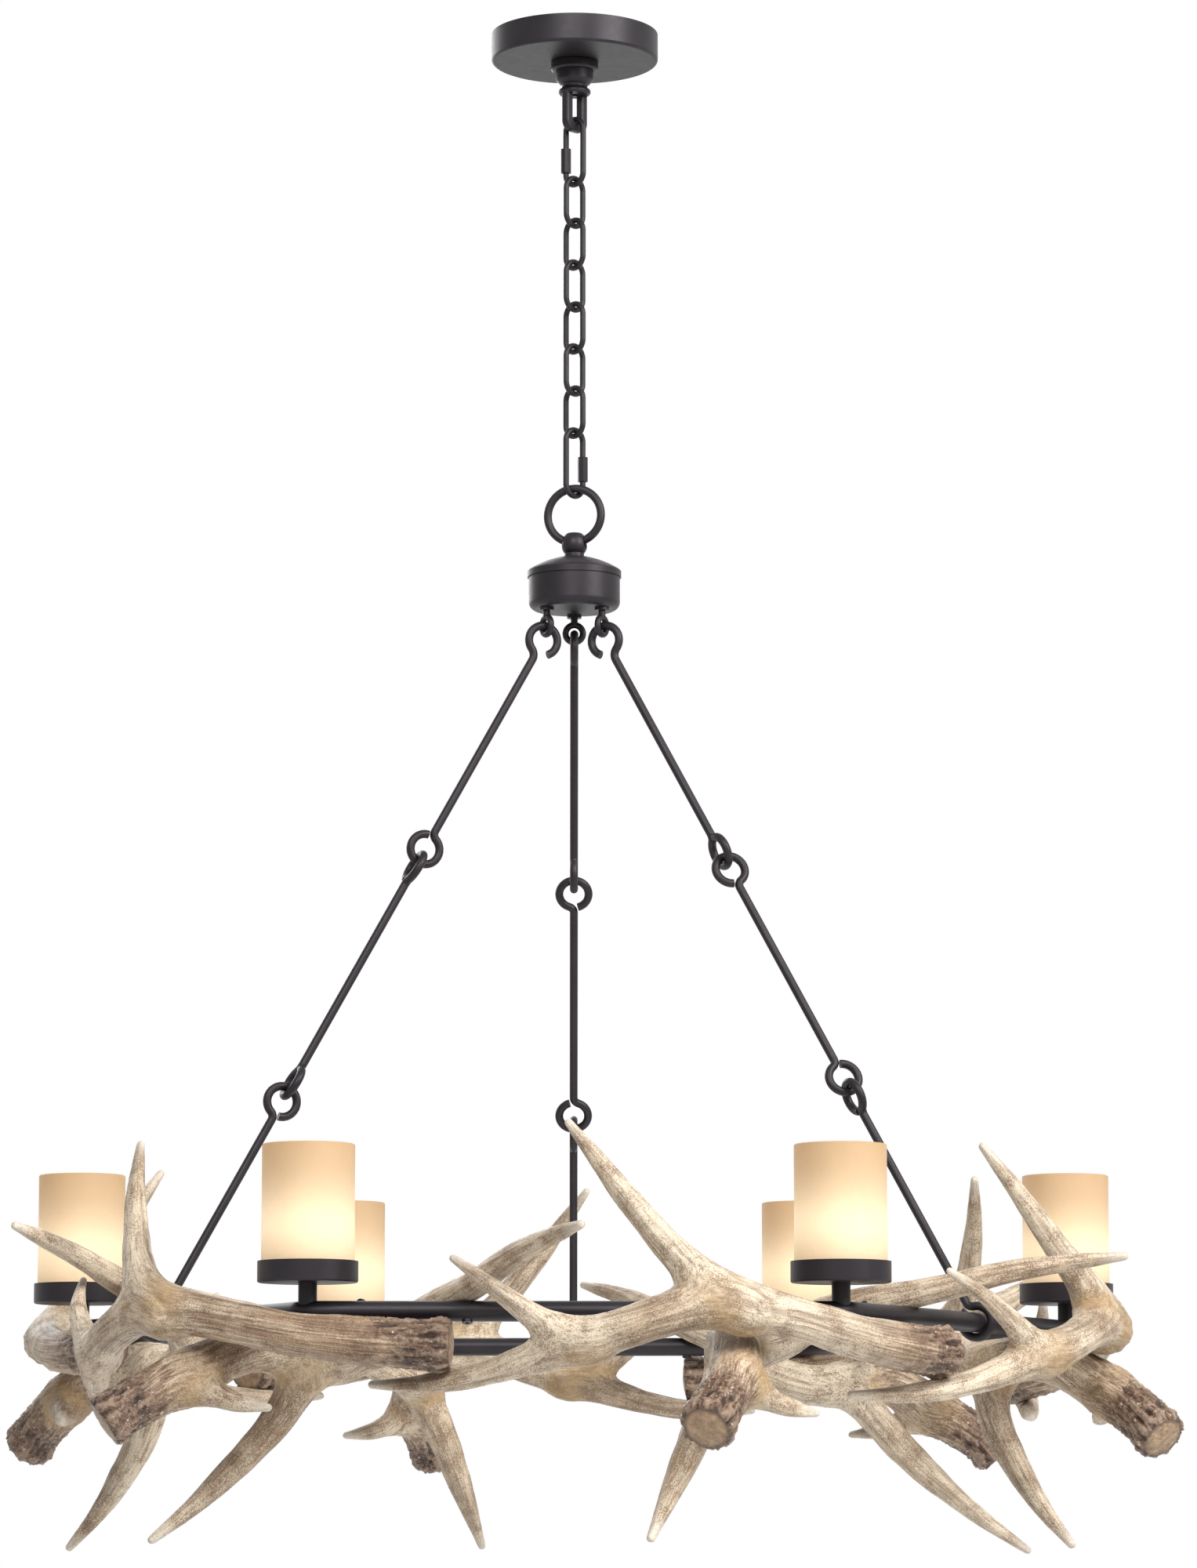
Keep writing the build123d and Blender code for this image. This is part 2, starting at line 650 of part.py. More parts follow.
def screw_set(spare):
    """All the screws, fatter all round by spare to cut their ways."""
    with BuildPart() as made:
        for core in cores:
            inside, on_tube = core.closest_points(runs.line)
            way = (inside - on_tube).normalized()
            head = Plane(origin=on_tube - way * (tube_d / 2 + screw_head_h - screw_sink), z_dir=way)
            with BuildSketch(head):
                Circle(screw_head_d / 2 + spare)
            extrude(amount=screw_head_h)
            with BuildSketch(head.offset(screw_head_h)):
                Circle(screw_d / 2 + spare)
            extrude(amount=(inside - head.origin).length - screw_head_h + screw_past + spare)
            if spare == 0:
                with BuildSketch(head):
                    RegularPolygon(1.6, 6)
                extrude(amount=1.8, mode=Mode.SUBTRACT)
    return made.part


ways = screw_set(0.1)
piece(screw_set(0), "antler_screws")
with BuildPart() as drilled_ring:
    add(ring.part)
    add(ways, mode=Mode.SUBTRACT)
piece(drilled_ring.part, "ring_frame")

for k, side in enumerate(sides):
    # where two casts or a cast and the tube press together, one is notched to seat on the other
    with BuildPart() as antler:
        add(uppers[k])
        add([ring.part, stems.part, uppers[k - 1], ways], mode=Mode.SUBTRACT)
    piece(antler.part, f"upper_antler_{side}")
    with BuildPart() as antler:
        add(lowers[k])
        add([ring.part, uppers[k], uppers[(k + 1) % 6], ways], mode=Mode.SUBTRACT)
    piece(antler.part, f"lower_antler_{side}")
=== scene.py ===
import json
import math

import bpy
import numpy as np
from mathutils import Matrix, Vector


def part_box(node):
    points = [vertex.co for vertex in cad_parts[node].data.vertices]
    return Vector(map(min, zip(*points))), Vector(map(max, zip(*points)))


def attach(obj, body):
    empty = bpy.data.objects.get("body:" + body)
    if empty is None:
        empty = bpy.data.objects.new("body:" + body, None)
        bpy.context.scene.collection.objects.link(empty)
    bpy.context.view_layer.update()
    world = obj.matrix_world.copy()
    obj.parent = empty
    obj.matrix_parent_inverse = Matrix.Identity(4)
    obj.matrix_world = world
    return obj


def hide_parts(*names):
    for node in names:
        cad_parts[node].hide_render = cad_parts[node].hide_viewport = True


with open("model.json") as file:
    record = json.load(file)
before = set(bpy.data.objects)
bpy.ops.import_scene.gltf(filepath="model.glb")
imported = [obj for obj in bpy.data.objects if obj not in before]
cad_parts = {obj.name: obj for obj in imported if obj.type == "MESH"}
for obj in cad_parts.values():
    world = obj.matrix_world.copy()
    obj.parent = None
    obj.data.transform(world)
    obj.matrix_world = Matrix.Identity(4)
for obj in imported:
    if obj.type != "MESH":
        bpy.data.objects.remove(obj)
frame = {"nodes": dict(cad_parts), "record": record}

bl_info = {
    "name": "Antler Chandelier",
    "version": (1, 0, 0),
    "blender": (4, 5, 0),
    "location": "View3D > Sidebar > Chandelier",
    "description": "Dresses the chandelier frame with antlers, blackened metal and lit amber glass",
    "category": "Object",
}

MM = 0.001
RING_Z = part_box("ring_frame")[0].z + (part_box("ring_frame")[1].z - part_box("ring_frame")[0].z) / 2
SIDES = ("front", "front_right", "rear_right", "rear", "rear_left", "front_left")

# Middle lines of the antlers for the front side, in mm, z above the ring's tube.
UPPER_LIMBS = {
    "beam": (
        [
            (285.6, -277.1, -27.5),
            (232, -350, -22),
            (170, -408, -8),
            (101, -442.8, 1.3),
            (40, -446, -14),
            (-12, -431.6, -30.8),
            (-70, -402, -50),
            (-120, -370, -58),
            (-159, -344, -58.3),
        ],
        [18.5, 18, 17.2, 16.4, 16.4, 17, 16, 15, 12, 9.5, 7.5, 3.2],
    ),
    "tall_tine": (
        [(124, -441, -2), (86, -441, 27), (45, -427, 71), (13, -411, 111), (-10, -397, 141.5)],
        [15, 14.2, 12.4, 10.6, 8.6, 6.2, 3.2],
    ),
    "small_tine": (
        [(6, -436, -28), (-34, -433, -8), (-68, -422, 16), (-97, -404, 36.7)],
        [12, 11, 9.2, 7.2, 5.2, 3.0],
    ),
}
LOWER_LIMBS = {
    "beam": (
        [
            (108, -485, -93),
            (118, -457, -72),
            (128, -420, -50),
            (123, -356, -26.5),
            (126, -312, -34),
            (158, -278, -22),
            (208, -262, 4),
            (263, -257, 19.5),
            (340, -258, 42),
            (429, -254, 60),
        ],
        [18.5, 18.5, 18.4, 18, 17.6, 17, 16.4, 14.6, 12.4, 11, 10.2, 8.6, 6.6, 3.4],
    ),
    "brow_tine": (
        [(124, -428, -55), (148, -415, -66), (172, -399, -74), (191, -386, -77)],
        [12, 11, 8.6, 6.4, 3.0],
    ),
    "down_tine": (
        [(130, -322, -34), (113, -330, -68), (96, -357, -111), (82, -389, -148), (71, -421, -178)],
        [15, 14.5, 13, 11, 9, 6.6, 3.4],
    ),
}
# How far the long down tine's tip stands off on each side, in mm, and its root's share of that.
DOWN_SPLAY = ((0, 0), (0, 0), (-28, -48), (0, 0), (20, -30), (0, 0))
ROOT_SHARE = 0.3
UPPER_PIVOT = (13, -415, 10)
LOWER_PIVOT = (180, -371, -36)
# How each cast hangs: turns about x, y, z in degrees, then a shift in mm, as in the frame.
UPPER_HANG = [
    ((0.4, 0.6, 0.2), (4.2, 4.5, 0.5)),
    ((-2.4, 0.4, 1), (-3.1, 7.5, -2.5)),
    ((-2.9, -1.6, 0.1), (-2.4, -2.2, -2)),
    ((1.6, -0.2, -1), (-1.5, -0.5, -0.1)),
    ((5.5, 1.5, 1.8), (5.4, -6.6, 1.7)),
    ((-0.5, -0.4, 0.6), (2.1, 0, -0.7)),
]
LOWER_HANG = [
    ((1.8, 3.5, -1.2), (-3.7, 4.8, -0.4)),
    ((0.4, -0.1, -1), (-1.1, -2.5, 1.7)),
    ((-1.2, -1.3, 2.4), (-1.5, -11.9, -1.5)),
    ((2.4, 2.1, 3.7), (13.6, 5.6, -0.4)),
    ((1, -1.7, -2.1), (-4.9, -0.9, 3.5)),
    ((-2.9, -0.5, 0.1), (0.7, 6.3, 2.5)),
]
# How far the brown stain runs up each beam from its cut end, in mm.
UPPER_STAIN = (95, 130, 150, 140, 150, 300)
LOWER_STAIN = (95, 150, 170, 190, 170, 150)

# Colours on an antler, linear: its stain and wear, browns in its hollows and crevices and on its
# ridges, and pale specks that are painted glints on its bark.
BLOTCH_BROWN = (0.33, 0.235, 0.15)
SOAKED_BROWN = (0.335, 0.200, 0.112)
FIBRE_BROWN = (0.240, 0.148, 0.086)
FIBRE_CREAM = (0.80, 0.69, 0.54)
PORE_BROWN = (0.205, 0.125, 0.072)
STREAK_BROWN = (0.135, 0.078, 0.043)
WORN_CREAM = (0.80, 0.70, 0.56)
FLECK_BROWN = (0.120, 0.073, 0.046)
HOLLOW_BROWN = (0.150, 0.090, 0.054)
TIP_CREAM = (0.80, 0.73, 0.63)
BARK_PLATE = (0.250, 0.142, 0.082)
BARK_CRUMB = (0.032, 0.016, 0.010)
BARK_RIDGE = (0.42, 0.30, 0.21)
# pale specks painted on the bark crust as its glints
BARK_GLINT = (0.78, 0.70, 0.60)
BARK_CREVICE = (0.026, 0.013, 0.009)
PITH_TAN = (0.52, 0.355, 0.215)
PITH_BROWN = (0.270, 0.165, 0.092)
SAWN_RIM = (0.15, 0.095, 0.060)

# Relief on an antler: how wide its features are, and how far the ends reach.
SAW_EDGE = 0.9 * MM
TIP_LENGTH = 42 * MM
CALM_LENGTH = 24 * MM
LUMP_SIZE, LUMP_HEIGHT = 34 * MM, 0.9 * MM
GROOVE_LENGTH, GROOVE_WIDTH = 75 * MM, 4.6 * MM
RIDGE_LENGTH = 15 * MM
PEARL_SIZE, PEARL_HEIGHT, PEARL_REACH = 2.9 * MM, 0.30 * MM, 150 * MM
BURR_PLACE, BURR_WIDTH, BURR_HEIGHT = 7.5 * MM, 6.0 * MM, 3.4 * MM
BURR_KNOBS = 13

# The glasses, and the bulbs inside them.
GLASS_COUNT = 6
GLASS_FOOT = 25 * MM  # above the ring's tube
GLASS_HEIGHT = 104 * MM
GLASS_WALL = 3 * MM
GLASS_LIP = 1.2 * MM
CAP_TOP, CAP_FADE = 17 * MM, 24 * MM  # where the bulb's cap ends and its glow begins

# The camera that took the photograph.
CAMERA_PLACE = (-5.8 * MM, -4654.5 * MM, -1299.8 * MM)
CAMERA_LENS = 127.9
CAMERA_SENSOR = 36.0
CAMERA_TILT = 7.95
CAMERA_TURN = -0.324


# ------------------------------------------------------------------ settings
class ChandelierAntlerSettings(bpy.types.PropertyGroup):
    skin_step: bpy.props.FloatProperty(
        name="Skin step", description="Size of the mesh squares on an antler",
        default=1.7 * MM, min=0.8 * MM, unit="LENGTH", precision=4)
    web: bpy.props.FloatProperty(
        name="Web", description="How far a tine's root flows into its beam",
        default=7.5 * MM, min=MM, unit="LENGTH", precision=4)
    groove_depth: bpy.props.FloatProperty(
        name="Groove depth", description="Depth of the grooves along the beams",
        default=0.8 * MM, min=0.0, unit="LENGTH", precision=4)
    bark_depth: bpy.props.FloatProperty(
        name="Bark depth", description="Roughness of the bark near the cut end",
        default=2.4 * MM, min=0.0, unit="LENGTH", precision=4)
    bark_length: bpy.props.FloatProperty(
        name="Bark length", description="How far the bark runs up from the cut end",
        default=78 * MM, min=0.0, unit="LENGTH", precision=3)
    cream: bpy.props.FloatVectorProperty(
        name="Cream", description="Pale colour of the beams", subtype="COLOR", size=3,
        default=(0.73, 0.615, 0.465), min=0.0, max=1.0)
    tan: bpy.props.FloatVectorProperty(
        name="Tan", description="Middle colour of the beams", subtype="COLOR", size=3,
        default=(0.50, 0.375, 0.250), min=0.0, max=1.0)
    bark: bpy.props.FloatVectorProperty(
        name="Bark", description="Brown of the bark near the cut end", subtype="COLOR", size=3,
        default=(0.095, 0.052, 0.032), min=0.0, max=1.0)
    ochre: bpy.props.FloatVectorProperty(
        name="Ochre", description="Stain in the forks", subtype="COLOR", size=3,
        default=(0.44, 0.285, 0.125), min=0.0, max=1.0)


class ChandelierMetalSettings(bpy.types.PropertyGroup):
    coat: bpy.props.FloatVectorProperty(
        name="Coat", description="Colour of the blackened bronze coat", subtype="COLOR", size=3,
        default=(0.0150, 0.0120, 0.0148), min=0.0, max=1.0)
    wear: bpy.props.FloatVectorProperty(
        name="Wear", description="Colour where the coat is thin", subtype="COLOR", size=3,
        default=(0.026, 0.0205, 0.0235), min=0.0, max=1.0)
    roughness: bpy.props.FloatProperty(
        name="Roughness", description="Mean roughness of the coat",
        default=0.42, min=0.0, max=1.0, subtype="FACTOR")


class ChandelierGlassSettings(bpy.types.PropertyGroup):
    lower_tint: bpy.props.FloatVectorProperty(
        name="Lower tint", description="Tint of the glass low down", subtype="COLOR", size=3,
        default=(0.60, 0.46, 0.31), min=0.0, max=1.0)
    upper_tint: bpy.props.FloatVectorProperty(
        name="Upper tint", description="Tint of the glass near its top", subtype="COLOR", size=3,
        default=(0.44, 0.29, 0.155), min=0.0, max=1.0)
    frost: bpy.props.FloatProperty(
        name="Frost", description="Roughness of the frosted glass",
        default=0.7, min=0.0, max=1.0, subtype="FACTOR")
    lamp_strength: bpy.props.FloatProperty(
        name="Lamp strength", description="How brightly each bulb glows",
        default=2.4, min=0.0)


class ChandelierStageSettings(bpy.types.PropertyGroup):
    floor_drop: bpy.props.FloatProperty(
        name="Floor drop", description="Height of the ceiling above the floor",
        default=2.5, min=1.4, unit="LENGTH")
    floor_glow: bpy.props.FloatProperty(
        name="Floor glow", description="How much the floor is lifted to white where it is seen",
        default=0.82, min=0.0)
    world_level: bpy.props.FloatProperty(
        name="World level", description="Strength of the light from all round",
        default=0.16, min=0.0)
    key_power: bpy.props.FloatProperty(
        name="Key power", description="Power of the main soft light",
        default=190.0, min=0.0, unit="POWER")
    front_power: bpy.props.FloatProperty(
        name="Front power", description="Power of the soft light above the camera",
        default=110.0, min=0.0, unit="POWER")
    rear_power: bpy.props.FloatProperty(
        name="Rear power", description="Power of the soft light behind the chandelier",
        default=40.0, min=0.0, unit="POWER")


# ------------------------------------------------------------------ node helpers
def new_material(name):
    """A new node material, and its Principled shader."""
    mat = bpy.data.materials.new(name)
    mat.use_nodes = True
    shader = mat.node_tree.nodes["Principled BSDF"]
    return mat, shader


class Nodes:
    """Short calls for the kinds of node that the finishes use."""

    def __init__(self, mat):
        self.tree = mat.node_tree

    def add(self, kind, **sets):
        node = self.tree.nodes.new(kind)
        for key, value in sets.items():
            setattr(node, key, value)
        return node

    def join(self, source, target):
        self.tree.links.new(source, target)

    def feed(self, socket, value):
        if isinstance(value, bpy.types.NodeSocket):
            self.join(value, socket)
        else:
            socket.default_value = value

    def noise(self, vector, scale, detail=4.0, rough=0.55):
        node = self.add("ShaderNodeTexNoise")
        self.join(vector, node.inputs["Vector"])
        node.inputs["Scale"].default_value = scale
        node.inputs["Detail"].default_value = detail
        node.inputs["Roughness"].default_value = rough
        return node.outputs["Fac"]

    def span(self, value, low, high, to_low=0.0, to_high=1.0):
        node = self.add("ShaderNodeMapRange", clamp=True)
        self.join(value, node.inputs["Value"])
        node.inputs["From Min"].default_value = low
        node.inputs["From Max"].default_value = high
        node.inputs["To Min"].default_value = to_low
        node.inputs["To Max"].default_value = to_high
        return node.outputs["Result"]

    def math(self, kind, a, b):
        node = self.add("ShaderNodeMath", operation=kind)
        self.feed(node.inputs[0], a)
        self.feed(node.inputs[1], b)
        return node.outputs[0]

    def mix(self, factor, a, b):
        node = self.add("ShaderNodeMix", data_type="RGBA", blend_type="MIX")
        self.feed(node.inputs[0], factor)
        self.feed(node.inputs[6], a if isinstance(a, bpy.types.NodeSocket) else (*a, 1.0))
        self.feed(node.inputs[7], b if isinstance(b, bpy.types.NodeSocket) else (*b, 1.0))
        return node.outputs[2]

    def attribute(self, name):
        return self.add("ShaderNodeAttribute", attribute_name=name)

    def stretch(self, vector, scale):
        node = self.add("ShaderNodeVectorMath", operation="MULTIPLY")
        self.join(vector, node.inputs[0])
        node.inputs[1].default_value = scale
        return node.outputs[0]

    def seen(self):
        """1 for rays from the camera, a gloss or a glass, and 0 for the light's own."""
        path = self.add("ShaderNodeLightPath")
        seen = self.math("MAXIMUM", path.outputs["Is Camera Ray"], path.outputs["Is Glossy Ray"])
        return self.math("MAXIMUM", seen, path.outputs["Is Transmission Ray"])

    def bump(self, height, distance, strength=1.0, normal=None):
        node = self.add("ShaderNodeBump")
        self.join(height, node.inputs["Height"])
        node.inputs["Distance"].default_value = distance
        node.inputs["Strength"].default_value = strength
        if normal is not None:
            self.join(normal, node.inputs["Normal"])
        return node.outputs["Normal"]


def antler_finish(look):
    """Hand stained antler: cream and tan along the grain, bark, ochre forks and pale tips."""
    mat, shader = new_material("stained_antler")
    n = Nodes(mat)
    place = n.add("ShaderNodeTexCoord").outputs["Object"]
    grain = n.attribute("grain").outputs["Vector"]
    bark = n.attribute("bark").outputs["Fac"]
    tip = n.attribute("tip").outputs["Fac"]
    fork = n.attribute("fork").outputs["Fac"]
    cut = n.attribute("cut").outputs["Fac"]
    hollow = n.attribute("hollow").outputs["Fac"]

    cloud = n.noise(place, 13.0, 3.0)
    blotch = n.noise(place, 58.0, 5.0, 0.65)
    fibre = n.noise(n.stretch(grain, (11.0, 330.0, 330.0)), 1.0, 5.0, 0.62)
    hair = n.noise(n.stretch(grain, (20.0, 640.0, 640.0)), 1.0, 4.0, 0.65)
    speck = n.noise(place, 900.0, 4.0, 0.7)
    fleck = n.noise(n.stretch(grain, (190.0, 760.0, 760.0)), 1.0, 3.0, 0.6)
    stain = n.attribute("stain").outputs["Fac"]

    colour = n.mix(n.span(cloud, 0.40, 0.70), tuple(look.cream), tuple(look.tan))
    colour = n.mix(n.span(blotch, 0.50, 0.74, 0.0, 0.45), colour, BLOTCH_BROWN)
    soaked = n.math("ADD", stain, n.span(fibre, 0.30, 0.70, -0.35, 0.35))
    colour = n.mix(n.span(soaked, 0.10, 0.95, 0.0, 0.78), colour, SOAKED_BROWN)
    colour = n.mix(n.span(fibre, 0.53, 0.66, 0.0, 0.65), colour, FIBRE_BROWN)
    colour = n.mix(n.span(fibre, 0.47, 0.34, 0.0, 0.6), colour, FIBRE_CREAM)
    # stain that stayed in the pores: fine dark specks, thicker where the stain is heavier
    heavy = n.span(blotch, 0.36, 0.66, -0.05, 0.05)
    dose = n.math("ADD", heavy, n.span(cloud, 0.36, 0.66, -0.03, 0.03))
    pores = n.span(n.math("ADD", speck, dose), 0.48, 0.60, 0.0, 0.84)
    colour = n.mix(pores, colour, PORE_BROWN)
    streaks = n.span(n.math("ADD", hair, dose), 0.50, 0.59)
    streaks = n.math("MULTIPLY", streaks, n.span(soaked, 0.0, 0.8, 0.42, 0.85))
    colour = n.mix(streaks, colour, STREAK_BROWN)
    worn = n.math("MULTIPLY", n.span(speck, 0.42, 0.34), n.span(blotch, 0.35, 0.60, 0.35, 0.85))
    colour = n.mix(worn, colour, WORN_CREAM)
    colour = n.mix(n.span(fleck, 0.62, 0.72, 0.0, 0.35), colour, FLECK_BROWN)
    ochre = n.math("MULTIPLY", n.span(fork, 0.25, 0.9), n.span(cloud, 0.38, 0.60, 0.0, 0.60))
    colour = n.mix(ochre, colour, tuple(look.ochre))
    colour = n.mix(n.span(hollow, 0.52, 0.86, 0.0, 0.70), colour, HOLLOW_BROWN)
    # bark
    plate = n.noise(n.stretch(grain, (60.0, 230.0, 230.0)), 1.0, 6.0, 0.7)
    crumb_and_glint = n.noise(place, 330.0, 5.0, 0.7)
    bark_colour = n.mix(n.span(plate, 0.40, 0.64), tuple(look.bark), BARK_PLATE)
    bark_colour = n.mix(n.span(crumb_and_glint, 0.50, 0.62, 0.0, 0.85), bark_colour, BARK_CRUMB)
    bark_colour = n.mix(n.span(hollow, 0.26, 0.02, 0.0, 0.60), bark_colour, BARK_RIDGE)
    # painted glints: pale specks in the bark's colour stand in for highlights on its crust
    bark_colour = n.mix(n.span(crumb_and_glint, 0.39, 0.34, 0.0, 0.9), bark_colour, BARK_GLINT)
    bark_colour = n.mix(n.span(hollow, 0.50, 0.74, 0.0, 0.9), bark_colour, BARK_CREVICE)
    edge = n.math("ADD", bark, n.span(blotch, 0.30, 0.70, -0.26, 0.26))
    edge = n.math("ADD", edge, n.span(fibre, 0.30, 0.70, -0.22, 0.22))
    colour = n.mix(n.span(edge, 0.32, 0.74), colour, bark_colour)
    colour = n.mix(n.span(tip, 0.45, 1.0, 0.0, 0.6), colour, TIP_CREAM)
    # cut end
    pith = n.noise(place, 170.0, 5.0, 0.65)
    sawn = n.mix(n.span(pith, 0.36, 0.66), PITH_TAN, PITH_BROWN)
    sawn = n.mix(n.span(cut, 0.66, 0.56), sawn, SAWN_RIM)
    colour = n.mix(n.span(cut, 0.30, 0.50), colour, sawn)
    n.join(colour, shader.inputs["Base Color"])

    rough = n.span(blotch, 0.3, 0.7, 0.44, 0.60)
    rough = n.math("SUBTRACT", rough, n.span(bark, 0.3, 0.8, 0.0, 0.20))
    n.join(rough, shader.inputs["Roughness"])
    shader.inputs["Specular IOR Level"].default_value = 0.42
    normal = n.bump(fibre, 1.2 * MM, 0.9)
    normal = n.bump(hair, 0.5 * MM, 0.9, normal)
    normal = n.bump(speck, 0.40 * MM, 0.7, normal)
    rind = n.math("MULTIPLY", n.math("ADD", plate, crumb_and_glint), bark)
    normal = n.bump(rind, 1.8 * MM, 0.8, normal)
    n.join(normal, shader.inputs["Normal"])
    return mat


def coat_finish(look):
    """Matt blackened bronze with a fine orange peel and thin brown wear."""
    mat, shader = new_material("blackened_bronze")
    n = Nodes(mat)
    place = n.add("ShaderNodeTexCoord").outputs["Object"]
    cloud = n.noise(place, 28.0, 4.0)
    peel = n.noise(place, 950.0, 2.0)
    rub = n.noise(place, 150.0, 5.0, 0.7)
    colour = n.mix(n.span(cloud, 0.38, 0.70), tuple(look.coat), (0.0205, 0.0165, 0.0200))
    colour = n.mix(n.span(rub, 0.58, 0.78, 0.0, 0.28), colour, tuple(look.wear))
    n.join(colour, shader.inputs["Base Color"])
    rough = n.span(rub, 0.3, 0.7, look.roughness - 0.02, look.roughness + 0.05)
    n.join(rough, shader.inputs["Roughness"])
    shader.inputs["Metallic"].default_value = 0.35
    shader.inputs["Specular IOR Level"].default_value = 0.31
    n.join(n.bump(peel, 0.03 * MM, 0.4), shader.inputs["Normal"])
    return mat


def steel_finish():
    """Zinc plated steel with a faint brushed grain."""
    mat, shader = new_material("zinc_steel")
    n = Nodes(mat)
    place = n.add("ShaderNodeTexCoord").outputs["Object"]
    grain = n.noise(n.stretch(place, (900.0, 60.0, 900.0)), 1.0, 3.0)
    colour = n.mix(n.span(grain, 0.35, 0.65), (0.50, 0.49, 0.46), (0.64, 0.63, 0.60))
    n.join(colour, shader.inputs["Base Color"])
    n.join(n.span(grain, 0.3, 0.7, 0.28, 0.42), shader.inputs["Roughness"])
    shader.inputs["Metallic"].default_value = 1.0
    n.join(n.bump(grain, 0.04 * MM, 0.4), shader.inputs["Normal"])
    return mat


def holder_finish():
    """Warm ivory lamp holder sleeve."""
    mat, shader = new_material("ivory_holder")
    n = Nodes(mat)
    place = n.add("ShaderNodeTexCoord").outputs["Object"]
    cloud = n.noise(place, 120.0, 4.0)
    n.join(n.mix(cloud, (0.78, 0.70, 0.55), (0.66, 0.57, 0.42)), shader.inputs["Base Color"])
    n.join(n.span(cloud, 0.3, 0.7, 0.42, 0.55), shader.inputs["Roughness"])
    return mat


def glass_finish(look):
    """Frosted amber glass, deeper towards its top, that the bulb's light comes through, with a painted
    glow on its wall.
    """
    mat, shader = new_material("frosted_amber_glass")
    n = Nodes(mat)
    coords = n.add("ShaderNodeTexCoord").outputs["Object"]
    height = n.add("ShaderNodeSeparateXYZ")
    n.join(coords, height.inputs[0])
    low = RING_Z + GLASS_FOOT
    rise = n.span(height.outputs["Z"], low, low + GLASS_HEIGHT)
    streak = n.noise(n.stretch(coords, (60.0, 60.0, 14.0)), 1.0, 4.0, 0.6)
    mottle = n.noise(coords, 260.0, 4.0, 0.6)
    tint = n.mix(n.span(rise, 0.35, 1.0), tuple(look.lower_tint), tuple(look.upper_tint))
    tint = n.mix(n.span(streak, 0.40, 0.75, 0.0, 0.30), tint, (0.53, 0.38, 0.23))
    tint = n.mix(n.span(mottle, 0.52, 0.75, 0.0, 0.25), tint, (0.44, 0.30, 0.17))
    n.join(tint, shader.inputs["Base Color"])
    rough = n.span(mottle, 0.3, 0.7, look.frost - 0.05, look.frost + 0.08)
    n.join(rough, shader.inputs["Roughness"])
    shader.inputs["Transmission Weight"].default_value = 0.32
    shader.inputs["IOR"].default_value = 1.45
    # painted glow: the glass's own emission stands in for the bulb's light that the frost spreads over
    # the wall, most at the bulb's own height
    off = n.math("MULTIPLY", n.math("SUBTRACT", rise, 0.40), 4.0)
    glow = n.math("DIVIDE", 1.0, n.math("ADD", 1.0, n.math("MULTIPLY", off, off)))
    painted_glow_colour = n.mix(glow, (0.125, 0.075, 0.030), (0.46, 0.42, 0.31))
    n.join(painted_glow_colour, shader.inputs["Emission Color"])
    shader.inputs["Emission Strength"].default_value = 1.0
    n.join(n.bump(mottle, 0.05 * MM, 0.4), shader.inputs["Normal"])
    return mat


def bulb_finish(look):
    """The lit envelope of the bulb, with its plain metal cap below."""
    mat, shader = new_material("lit_bulb")
    n = Nodes(mat)
    coords = n.add("ShaderNodeTexCoord").outputs["Object"]
    height = n.add("ShaderNodeSeparateXYZ")
    n.join(coords, height.inputs[0])
    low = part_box("bulb_1")[0].z
    rise = n.span(height.outputs["Z"], low + CAP_TOP, low + CAP_FADE)
    n.join(n.mix(rise, (0.55, 0.50, 0.42), (1.0, 0.90, 0.72)), shader.inputs["Base Color"])
    n.join(n.mix(rise, (0.0, 0.0, 0.0), (1.0, 0.85, 0.62)), shader.inputs["Emission Color"])
    shader.inputs["Emission Strength"].default_value = look.lamp_strength
    shader.inputs["Roughness"].default_value = 0.35
    return mat


# ------------------------------------------------------------------ antler shape
def middle_line(points, count):
    """A smooth line through the points, in metres, with its length at each of count even steps."""
    p = np.array(points, float) * MM
    t = np.concatenate([[0.0], np.cumsum(np.linalg.norm(np.diff(p, axis=0), axis=1))])
    last = len(p) - 1
    h = np.diff(t)
    system = np.eye(len(p))
    right = np.zeros((len(p), 3))
    for i in range(1, last):
        system[i, i - 1:i + 2] = h[i - 1], 2 * (h[i - 1] + h[i]), h[i]
        right[i] = 6 * ((p[i + 1] - p[i]) / h[i] - (p[i] - p[i - 1]) / h[i - 1])
    bend = np.linalg.solve(system, right)
    u = np.linspace(0, t[-1], 400)
    i = np.clip(np.searchsorted(t, u) - 1, 0, last - 1)
    a = ((t[i + 1] - u) / h[i])[:, None]
    b = 1 - a
    step = (h[i] ** 2 / 6)[:, None]
    q = a * p[i] + b * p[i + 1] + ((a ** 3 - a) * bend[i] + (b ** 3 - b) * bend[i + 1]) * step
    s = np.concatenate([[0.0], np.cumsum(np.linalg.norm(np.diff(q, axis=0), axis=1))])
    v = np.linspace(0, s[-1], count)
    return np.column_stack([np.interp(v, s, q[:, j]) for j in range(3)]), v


